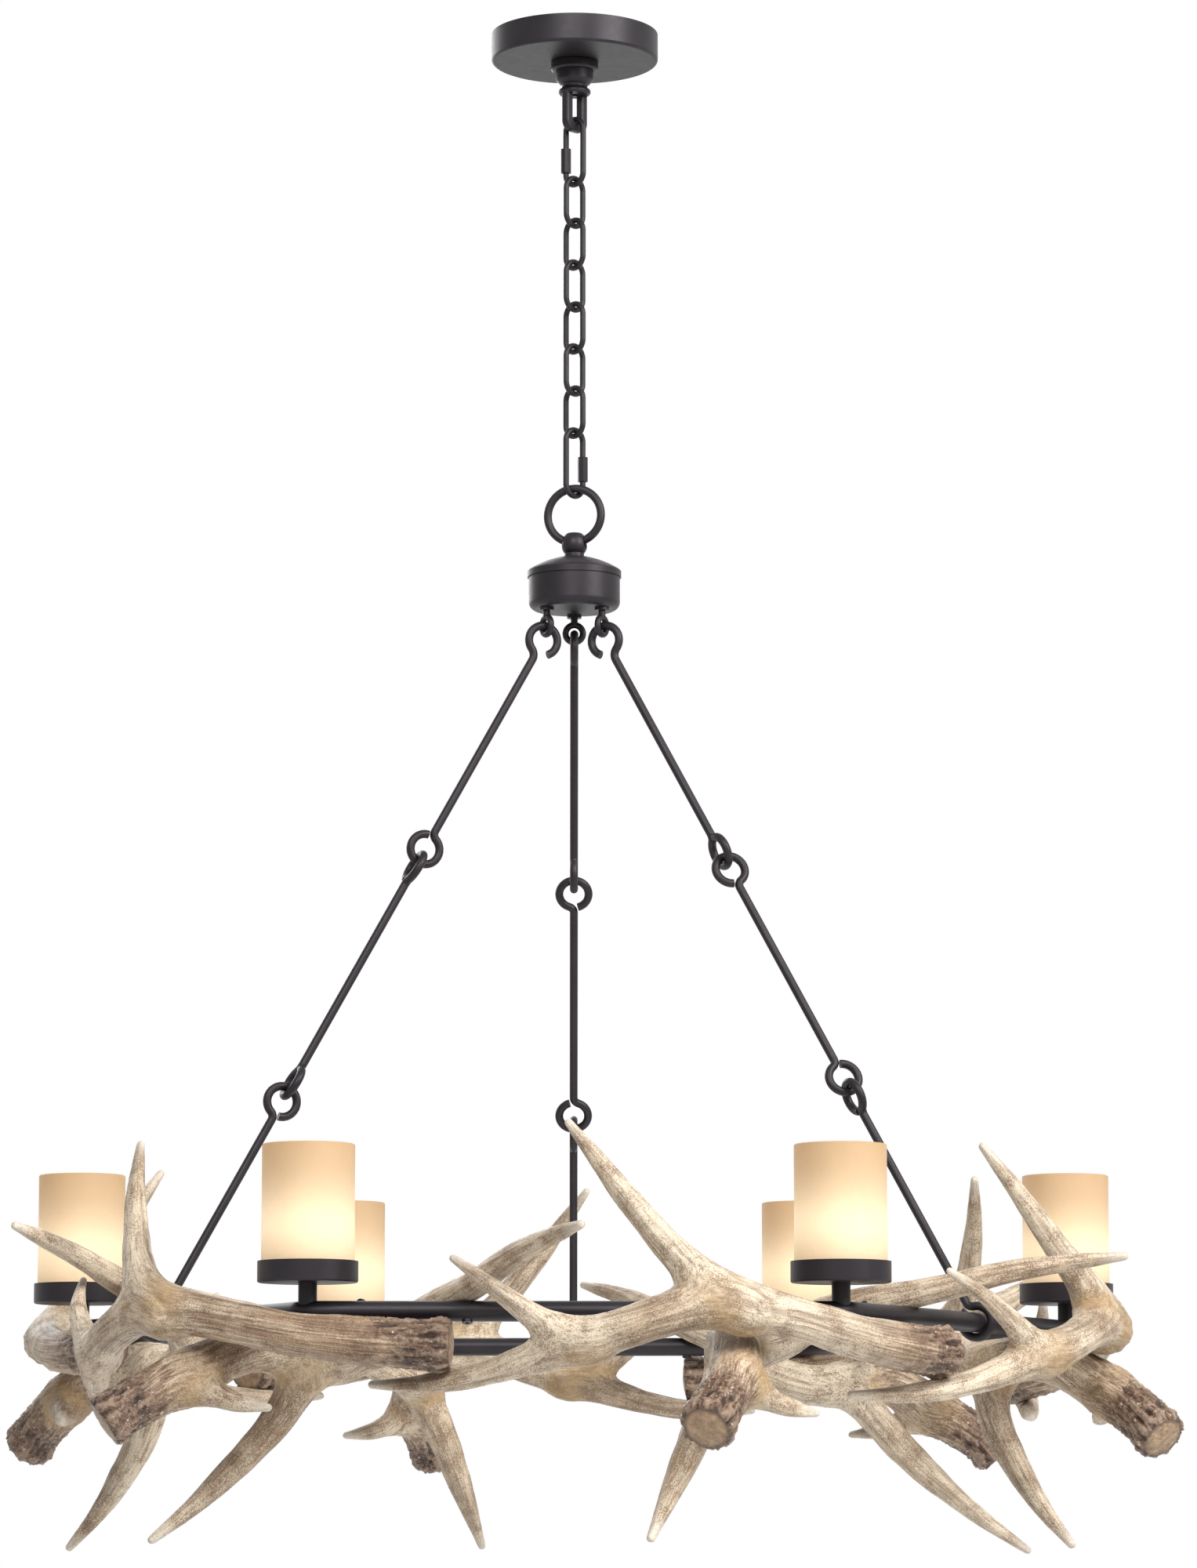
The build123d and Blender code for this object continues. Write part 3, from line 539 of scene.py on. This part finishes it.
class Limb:
    """One branch of an antler: its middle line, lengths, radii and turning frame, in metres."""

    def __init__(self, points, radii, count=34):
        self.line, self.length = middle_line(points, count)
        share = self.length / self.length[-1]
        self.radius = np.interp(share, np.linspace(0, 1, len(radii)), np.array(radii) * MM)
        self.way = np.gradient(self.line, axis=0)
        self.way /= np.linalg.norm(self.way, axis=1)[:, None]
        side = np.cross(self.way[0], (0.31, 0.22, 0.92))
        sides = []
        for way in self.way:
            side = side - way * (side @ way)
            side = side / np.linalg.norm(side)
            sides.append(side)
        self.side = np.array(sides)
        self.up = np.cross(self.way, self.side)

    def field(self, at):
        """For each point: distance to the skin, way out of it, and its place on the line in steps."""
        near = np.full(len(at), 1e9)
        place = np.zeros(len(at))
        offset = np.zeros_like(at)
        for j in range(len(self.line) - 1):
            a, ab = self.line[j], self.line[j + 1] - self.line[j]
            t = np.clip(((at - a) @ ab) / (ab @ ab), 0.0, 1.0)
            off = at - a - t[:, None] * ab
            size = np.linalg.norm(off, axis=1)
            d = size - (self.radius[j] + t * (self.radius[j + 1] - self.radius[j]))
            closer = d < near
            near = np.where(closer, d, near)
            place = np.where(closer, j + t, place)
            offset = np.where(closer[:, None], off, offset)
        out = offset / np.maximum(np.linalg.norm(offset, axis=1), 1e-9)[:, None]
        return near, out, place

    def coords(self, at, place):
        """Smooth coordinates of each point: length along the line, and two offsets across it."""
        j = np.clip(place.astype(int), 0, len(self.line) - 2)
        t = place - j
        start, step = self.line[j], self.line[j + 1] - self.line[j]
        way, bend = self.way[j], self.way[j + 1] - self.way[j]
        for _ in range(3):
            off = at - start - t[:, None] * step
            ahead = way + t[:, None] * bend
            slope = np.sum(off * bend, axis=1) - np.sum(step * ahead, axis=1)
            t = np.clip(t - np.sum(off * ahead, axis=1) / slope, -1.0, 2.0)
        off = at - start - t[:, None] * step
        side = self.side[j] + t[:, None] * (self.side[j + 1] - self.side[j])
        up = self.up[j] + t[:, None] * (self.up[j + 1] - self.up[j])
        along = self.length[j] + t * (self.length[j + 1] - self.length[j])
        return along, np.sum(off * side, axis=1), np.sum(off * up, axis=1)


def lattice_noise(at, seed):
    """Smooth noise from -1 to 1 at points given in cells of a lattice."""
    cell = np.floor(at).astype(np.int64)
    f = at - cell
    f = f * f * f * (f * (f * 6 - 15) + 10)
    total = np.zeros(len(at))
    for corner in range(8):
        step = np.array([corner & 1, corner >> 1 & 1, corner >> 2 & 1])
        c = cell + step
        h = (c[:, 0] * 374761393 + c[:, 1] * 668265263 + c[:, 2] * 362437 + seed * 974711) & 0xFFFFFFFF
        h = ((h ^ (h >> 13)) * 1274126177) & 0xFFFFFFFF
        h = (h ^ (h >> 16)) & 0xFFFF
        weight = np.prod(np.where(step == 1, f, 1 - f), axis=1)
        total += weight * (h / 32767.5 - 1)
    return total


def layered_noise(at, seed, layers=3):
    """Lattice noise in layers, each finer and weaker than the last."""
    total, size = 0.0, 1.0
    for i in range(layers):
        total = total + size * lattice_noise(at * 2 ** i, seed + i)
        size *= 0.55
    return total


def rough_skin(limbs, step):
    """A closed mesh round all the limbs, made of even squares: vertices and faces."""
    verts, faces = [], []
    around = 18
    turn = np.linspace(0, 2 * math.pi, around, endpoint=False)[:, None]
    for limb in limbs:
        base = len(verts)
        rings = [(c, r, s, u) for c, r, s, u in zip(limb.line, limb.radius, limb.side, limb.up)]
        tip, end, side, up = rings[-1]
        # a round end past the tip
        for f in (0.5, 0.85, 0.98):
            rings.append((tip + limb.way[-1] * end * f, end * math.sqrt(1 - f * f), side, up))
        for centre, radius, side, up in rings:
            verts.extend(centre + radius * (side * np.cos(turn) + up * np.sin(turn)))
        for i in range(len(rings) - 1):
            for k in range(around):
                a, b = base + i * around + k, base + i * around + (k + 1) % around
                faces.append((a, b, b + around, a + around))
        faces.append(tuple(base + k for k in reversed(range(around))))
        faces.append(tuple(base + (len(rings) - 1) * around + k for k in range(around)))
    mesh = bpy.data.meshes.new("limbs")
    mesh.from_pydata([tuple(v) for v in verts], [], faces)
    blank = bpy.data.objects.new("limbs", mesh)
    bpy.context.scene.collection.objects.link(blank)
    remesh = blank.modifiers.new("even squares", "REMESH")
    remesh.mode = "VOXEL"
    remesh.voxel_size = step
    graph = bpy.context.evaluated_depsgraph_get()
    even = bpy.data.meshes.new_from_object(blank.evaluated_get(graph))
    bpy.data.objects.remove(blank)
    bpy.data.meshes.remove(mesh)
    at = np.zeros(len(even.vertices) * 3)
    even.vertices.foreach_get("co", at)
    squares = [tuple(f.vertices) for f in even.polygons]
    bpy.data.meshes.remove(even)
    return at.reshape(-1, 3), squares


def mesh_normals(at, squares):
    """A normal at each vertex, from the faces round it."""
    quads = np.array([f if len(f) == 4 else (*f, f[-1]) for f in squares])
    across = np.cross(at[quads[:, 2]] - at[quads[:, 0]], at[quads[:, 3]] - at[quads[:, 1]])
    total = np.zeros_like(at)
    for k in range(4):
        np.add.at(total, quads[:, k], across)
    return total / np.maximum(np.linalg.norm(total, axis=1), 1e-12)[:, None]


def grown_antler(limbs, look, seed):
    """The carved antler, in the front side's place: vertices, faces and what its finish reads."""
    beam = limbs[0]
    at, squares = rough_skin(limbs, look.skin_step)
    foot = beam.line[0]
    away = foot - beam.line[1]
    away /= np.linalg.norm(away)
    reach = 2.6 * beam.radius[0]

    def blended(points):
        """Smooth union of the limbs, with each limb's share."""
        fields = [limb.field(points) for limb in limbs]
        near = np.array([f[0] for f in fields])
        low = near.min(axis=0)
        share = np.exp(-(near - low) / look.web)
        total = share.sum(axis=0)
        return low - look.web * np.log(total), share / total, fields

    for _ in range(4):
        near, share, fields = blended(at)
        out = sum(s[:, None] * f[1] for s, f in zip(share, fields))
        out /= np.maximum(np.linalg.norm(out, axis=1), 1e-9)[:, None]
        sawn = (at - foot) @ away
        at_foot = np.linalg.norm(at - foot, axis=1) < reach
        flat = (sawn > near) & at_foot
        at = at - np.where(flat[:, None], sawn[:, None] * away, near[:, None] * out)

    near, share, fields = blended(at)
    places = [limb.coords(at, f[2]) for limb, f in zip(limbs, fields)]
    sawn = (at - foot) @ away
    at_foot = np.linalg.norm(at - foot, axis=1) < reach
    face = np.clip(1 + sawn / SAW_EDGE, 0, 1) * at_foot
    foot_way, foot_side, foot_up = places[0]
    foot_way = np.maximum(foot_way, 0.0)
    off_line = np.hypot(foot_side, foot_up)
    # how far each point is from the cut end, and from its own tip
    from_foot = np.where(share[0] > 0.5, foot_way, 1.0)
    bark = np.clip(1.15 - foot_way / look.bark_length, 0, 1) * share[0]
    to_tip = [limb.length[-1] - p[0] for limb, p in zip(limbs, places)]
    tip = sum(s * np.clip(1 - t / TIP_LENGTH, 0, 1) for s, t in zip(share, to_tip))
    calm = sum(s * np.clip(t / CALM_LENGTH, 0.12, 1) for s, t in zip(share, to_tip))
    fork = np.clip((1 - share.max(axis=0)) * 2.4, 0, 1)
    # each limb reads its own part of the grain
    grain = np.zeros_like(at)
    for i, (s, p) in enumerate(zip(share, places)):
        grain = grain + s[:, None] * (np.column_stack(p) + (0.37 * i, 0, 0))

    normal = mesh_normals(at, squares)
    girth = 0.0
    for s, p, limb in zip(share, places, limbs):
        girth = girth + s * np.interp(p[0], limb.length, limb.radius)
    thin = np.clip(girth / (15 * MM), 0.15, 1.2)
    lumps = layered_noise(at / LUMP_SIZE, seed, 2) * LUMP_HEIGHT
    grooves = np.zeros(len(at))
    ridges = np.zeros(len(at))
    for i, (s, p) in enumerate(zip(share, places)):
        q = np.column_stack([p[0] / GROOVE_LENGTH + 9 * i, p[1] / GROOVE_WIDTH, p[2] / GROOVE_WIDTH])
        grooves += s * layered_noise(q, seed + 11, 3)
        r = np.column_stack([p[0] / RIDGE_LENGTH + 5 * i, q[:, 1] * 1.15, q[:, 2] * 1.15])
        ridges += s * (1 - 2 * np.abs(layered_noise(r, seed + 29, 3)))
    pearls = 1 - 2 * np.abs(lattice_noise(at / PEARL_SIZE, seed + 41))
    depth = look.groove_depth * grooves * (0.35 + 0.65 * thin)
    # pearled burr just above the cut end
    around = np.arctan2(foot_up, foot_side)
    knobs = 0.76 + 0.24 * np.cos(BURR_KNOBS * around + 2.2 * lattice_noise(at / (16 * MM), seed + 53))
    burr = np.exp(-((foot_way - BURR_PLACE) / BURR_WIDTH) ** 2) * share[0] * (1 - face)
    depth += look.bark_depth * np.clip(bark, 0, 1) * (0.7 * ridges + 0.25 * pearls) * (1 - 0.6 * burr)
    depth += PEARL_HEIGHT * np.clip(pearls, 0, 1) * np.clip(1.6 - from_foot / PEARL_REACH, 0, 1)
    depth += BURR_HEIGHT * burr * knobs * (0.95 + 0.12 * pearls)
    edge = np.clip(1 - off_line / (beam.radius[0] * 0.80), 0, 1)
    depth = depth * (1 - face) + face * (0.35 * MM * pearls + 2.4 * MM * np.sqrt(edge))
    at = at + normal * (calm * (depth + lumps * (1 - face) * np.clip(thin, 0, 1)))[:, None]
    hollow = np.clip(0.5 - (grooves * 0.28 + bark * (0.55 * ridges + 0.2 * pearls)), 0, 1)
    hollow = np.clip(hollow - burr * (knobs - 0.55) * 0.9, 0, 1)
    cut = face * np.clip(1.15 - off_line / (beam.radius[0] * 1.6), 0, 1)
    along = np.where(share[0] > 0.02, foot_way / np.maximum(share[0], 0.02), 9.0)
    facts = {
        "grain": grain, "bark": bark, "tip": tip, "fork": fork,
        "cut": cut, "hollow": hollow, "along": along,
    }
    return at, squares, facts


def hang_matrix(pivot, pose, k):
    """Where a cast of side k hangs, as in the frame."""
    (rx, ry, rz), shift = pose
    pivot = Vector(pivot) * MM
    turn = (
        Matrix.Rotation(math.radians(rz), 4, "Z")
        @ Matrix.Rotation(math.radians(ry), 4, "Y")
        @ Matrix.Rotation(math.radians(rx), 4, "X")
    )
    move = Matrix.Translation(pivot + Vector(shift) * MM + Vector((0, 0, RING_Z)))
    return Matrix.Rotation(math.radians(60 * k), 4, "Z") @ move @ turn @ Matrix.Translation(-pivot)


def lower_limbs(splay):
    """The lower antler's branches, its long down tine bent outward by splay at the tip."""
    limbs = dict(LOWER_LIMBS)
    points, radii = limbs["down_tine"]
    bent = []
    for i, (x, y, z) in enumerate(points):
        share = ROOT_SHARE + (1 - ROOT_SHARE) * i / (len(points) - 1)
        bent.append((x + splay[0] * share, y + splay[1] * share, z))
    limbs["down_tine"] = (bent, radii)
    return [Limb(*limb) for limb in limbs.values()]


def put_antler(name, shape, place, material, node, stained):
    """One antler on the ring, brown for the stained length, with the attributes its finish reads."""
    at, squares, facts = shape
    facts = dict(facts)
    facts["stain"] = np.clip(1.2 - facts.pop("along") / (stained * MM), 0, 1)
    m = np.array(place)
    at = at @ m[:3, :3].T + m[:3, 3]
    mesh = bpy.data.meshes.new(name)
    mesh.from_pydata(at.tolist(), [], squares)
    mesh.polygons.foreach_set("use_smooth", np.ones(len(mesh.polygons), bool))
    for key, values in facts.items():
        kind, field = ("FLOAT_VECTOR", "vector") if values.ndim == 2 else ("FLOAT", "value")
        layer = mesh.attributes.new(key, kind, "POINT")
        layer.data.foreach_set(field, values.astype(np.float32).ravel())
    mesh.materials.append(material)
    mesh.update()
    antler = bpy.data.objects.new(name, mesh)
    bpy.context.scene.collection.objects.link(antler)
    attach(antler, "ring")
    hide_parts(node)
    return antler


# ------------------------------------------------------------------ other shapes
def turned_piece(name, profile, centre, around, material, body):
    """A closed piece turned about an upright axis from (radius, height) points in metres."""
    verts, faces = [], []
    for r, z in profile:
        for k in range(around):
            a = 2 * math.pi * k / around
            verts.append((centre[0] + r * math.cos(a), centre[1] + r * math.sin(a), centre[2] + z))
    rows = len(profile)
    for i in range(rows):
        for k in range(around):
            a, b = i * around + k, i * around + (k + 1) % around
            c, d = (i + 1) % rows * around + (k + 1) % around, (i + 1) % rows * around + k
            faces.append((a, b, c, d))
    mesh = bpy.data.meshes.new(name)
    mesh.from_pydata(verts, [], faces)
    mesh.polygons.foreach_set("use_smooth", np.ones(len(mesh.polygons), bool))
    mesh.materials.append(material)
    mesh.update()
    made = bpy.data.objects.new(name, mesh)
    bpy.context.scene.collection.objects.link(made)
    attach(made, body)
    return made


def paint(nodes, material):
    """Gives CAD nodes a finish."""
    for name in nodes:
        obj = frame["nodes"][name]
        obj.data.materials.clear()
        obj.data.materials.append(material)


# ------------------------------------------------------------------ operators
class CHANDELIER_OT_metalwork(bpy.types.Operator):
    """Finish the canopy, chain, hub, rods, ring, stems and saucers in blackened bronze"""

    bl_idname = "chandelier.metalwork"
    bl_label = "Finish the metalwork"

    def execute(self, context):
        coat = coat_finish(context.scene.chandelier_metal)
        subparts = frame["record"]["subparts"]
        paint([s["node"] for s in subparts if s["material_slot"] == "bronze"], coat)
        fixings = [s["node"] for s in subparts if s["material_slot"] == "fixing_steel"]
        # the screws into the antlers are painted with the ring
        paint([name for name in fixings if name != "antler_screws"], steel_finish())
        paint(["antler_screws"], coat)
        return {"FINISHED"}


class CHANDELIER_OT_upper_antlers(bpy.types.Operator):
    """Grow the six upper antlers and hang them along the ring's sides"""

    bl_idname = "chandelier.upper_antlers"
    bl_label = "Add the upper antlers"

    def execute(self, context):
        look = context.scene.chandelier_antler
        material = bpy.data.materials.get("stained_antler") or antler_finish(look)
        shape = grown_antler([Limb(*limb) for limb in UPPER_LIMBS.values()], look, 5)
        for k, side in enumerate(SIDES):
            place = hang_matrix(UPPER_PIVOT, UPPER_HANG[k], k)
            name, node = f"antler_upper_{side}", f"upper_antler_{side}"
            put_antler(name, shape, place, material, node, UPPER_STAIN[k])
        return {"FINISHED"}


class CHANDELIER_OT_lower_antlers(bpy.types.Operator):
    """Grow the six lower antlers and hang them beneath the ring's sides"""

    bl_idname = "chandelier.lower_antlers"
    bl_label = "Add the lower antlers"

    def execute(self, context):
        look = context.scene.chandelier_antler
        material = bpy.data.materials.get("stained_antler") or antler_finish(look)
        shapes = {}
        for k, side in enumerate(SIDES):
            splay = DOWN_SPLAY[k]
            if splay not in shapes:
                shapes[splay] = grown_antler(lower_limbs(splay), look, 23)
            place = hang_matrix(LOWER_PIVOT, LOWER_HANG[k], k)
            name, node = f"antler_lower_{side}", f"lower_antler_{side}"
            put_antler(name, shapes[splay], place, material, node, LOWER_STAIN[k])
        return {"FINISHED"}


class CHANDELIER_OT_lights(bpy.types.Operator):
    """Add the six frosted glasses and light the bulbs in their holders"""

    bl_idname = "chandelier.lights"
    bl_label = "Add the lights"

    def execute(self, context):
        look = context.scene.chandelier_glass
        glass = glass_finish(look)
        paint([f"bulb_{k + 1}" for k in range(GLASS_COUNT)], bulb_finish(look))
        paint(["lamp_holders"], holder_finish())
        lip, bevel = GLASS_LIP, 0.35 * GLASS_LIP
        near = 0.3 * lip
        for k in range(GLASS_COUNT):
            node = f"glass_{k + 1}"
            low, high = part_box(node)
            centre = ((low.x + high.x) / 2, (low.y + high.y) / 2, low.z)
            outer = (high.x - low.x) / 2
            inner = outer - GLASS_WALL
            tall = high.z - low.z
            profile = [(outer - lip, 0.0), (outer - bevel, near), (outer, lip)]
            # a blown wall is never quite straight
            for share in (0.2, 0.4, 0.6, 0.8):
                profile.append((outer + 0.1 * MM * math.sin(7 * share), share * tall))
            profile += [(outer, tall - lip), (outer - bevel, tall - near), (outer - lip, tall)]
            profile += [(inner + lip, tall), (inner + bevel, tall - near), (inner, tall - lip)]
            profile += [(inner, 0.5 * tall), (inner, lip), (inner + bevel, near), (inner + lip, 0.0)]
            name = f"shade_{k + 1}"
            shade = turned_piece(name, profile, centre, 96, glass, node)
            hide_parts(node)
        return {"FINISHED"}


class CHANDELIER_OT_stage(bpy.types.Operator):
    """Set up the pale floor, the soft studio light and the camera"""

    bl_idname = "chandelier.stage"
    bl_label = "Set the stage"

    def execute(self, context):
        look = context.scene.chandelier_stage
        scene = context.scene
        scene.view_settings.view_transform = "Standard"
        bpy.ops.mesh.primitive_grid_add(x_subdivisions=4, y_subdivisions=4, size=24.0)
        floor = context.active_object
        floor.name = "studio_floor"
        floor.location = (0, 0, -look.floor_drop)
        mat, shader = new_material("pale_floor")
        n = Nodes(mat)
        spots = n.noise(n.add("ShaderNodeTexCoord").outputs["Object"], 3.0, 4.0)
        n.join(n.mix(spots, (0.82, 0.82, 0.81), (0.86, 0.86, 0.85)), shader.inputs["Base Color"])
        shader.inputs["Roughness"].default_value = 0.9
        shader.inputs["Emission Color"].default_value = (1.0, 1.0, 1.0, 1.0)
        n.join(n.span(n.seen(), 0.0, 1.0, 0.0, look.floor_glow), shader.inputs["Emission Strength"])
        floor.data.materials.append(mat)

        world = bpy.data.worlds.new("studio_world")
        scene.world = world
        world.use_nodes = True
        n = Nodes(world)
        sky = world.node_tree.nodes["Background"]
        sky.inputs["Color"].default_value = (1.0, 1.0, 1.0, 1.0)
        n.join(n.span(n.seen(), 0.0, 1.0, look.world_level, 1.0), sky.inputs["Strength"])

        def soft_light(name, spot, aim, size, power):
            lamp = bpy.data.lights.new(name, "AREA")
            lamp.shape = "RECTANGLE"
            lamp.size, lamp.size_y = size
            lamp.energy = power
            holder = bpy.data.objects.new(name, lamp)
            holder.location = spot
            holder.rotation_mode = "QUATERNION"
            holder.rotation_quaternion = (Vector(aim) - Vector(spot)).to_track_quat("-Z", "Y")
            scene.collection.objects.link(holder)

        target = (0, 0, RING_Z)
        soft_light("key_light", (2.8, -2.1, 1.1), target, (2.0, 2.2), look.key_power)
        soft_light("front_light", (-0.4, -3.5, 1.3), target, (1.8, 1.4), look.front_power)
        soft_light("rear_light", (-1.2, 2.8, 0.4), target, (2.4, 1.6), look.rear_power)

        camera = bpy.data.cameras.new("photo_camera")
        camera.sensor_width = CAMERA_SENSOR
        camera.lens = CAMERA_LENS
        camera.clip_end = 60.0
        holder = bpy.data.objects.new("photo_camera", camera)
        holder.location = CAMERA_PLACE
        holder.rotation_euler = (math.radians(90 + CAMERA_TILT), 0, math.radians(CAMERA_TURN))
        scene.collection.objects.link(holder)
        scene.camera = holder
        return {"FINISHED"}


class CHANDELIER_PT_panel(bpy.types.Panel):
    """The chandelier's sizes and colours, and its pieces"""

    bl_idname = "CHANDELIER_PT_panel"
    bl_label = "Chandelier"
    bl_space_type = "VIEW_3D"
    bl_region_type = "UI"
    bl_category = "Chandelier"

    def draw(self, context):
        layout = self.layout
        for key in SETTINGS:
            box = layout.box()
            group = getattr(context.scene, key)
            for prop in group.__annotations__:
                box.prop(group, prop)
        for piece in OPERATORS:
            layout.operator(piece.bl_idname)


SETTINGS = {
    "chandelier_antler": ChandelierAntlerSettings,
    "chandelier_metal": ChandelierMetalSettings,
    "chandelier_glass": ChandelierGlassSettings,
    "chandelier_stage": ChandelierStageSettings,
}
OPERATORS = (
    CHANDELIER_OT_metalwork,
    CHANDELIER_OT_upper_antlers,
    CHANDELIER_OT_lower_antlers,
    CHANDELIER_OT_lights,
    CHANDELIER_OT_stage,
)


def register():
    for group in SETTINGS.values():
        bpy.utils.register_class(group)
    for piece in OPERATORS:
        bpy.utils.register_class(piece)
    bpy.utils.register_class(CHANDELIER_PT_panel)
    for key, group in SETTINGS.items():
        setattr(bpy.types.Scene, key, bpy.props.PointerProperty(type=group))


def unregister():
    for key in SETTINGS:
        delattr(bpy.types.Scene, key)
    bpy.utils.unregister_class(CHANDELIER_PT_panel)
    for piece in reversed(OPERATORS):
        bpy.utils.unregister_class(piece)
    for group in reversed(list(SETTINGS.values())):
        bpy.utils.unregister_class(group)


def main():
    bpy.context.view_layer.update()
    register()
    bpy.ops.chandelier.metalwork()
    bpy.ops.chandelier.upper_antlers()
    bpy.ops.chandelier.lower_antlers()
    bpy.ops.chandelier.lights()
    bpy.ops.chandelier.stage()


if __name__ == "__main__":
    main()
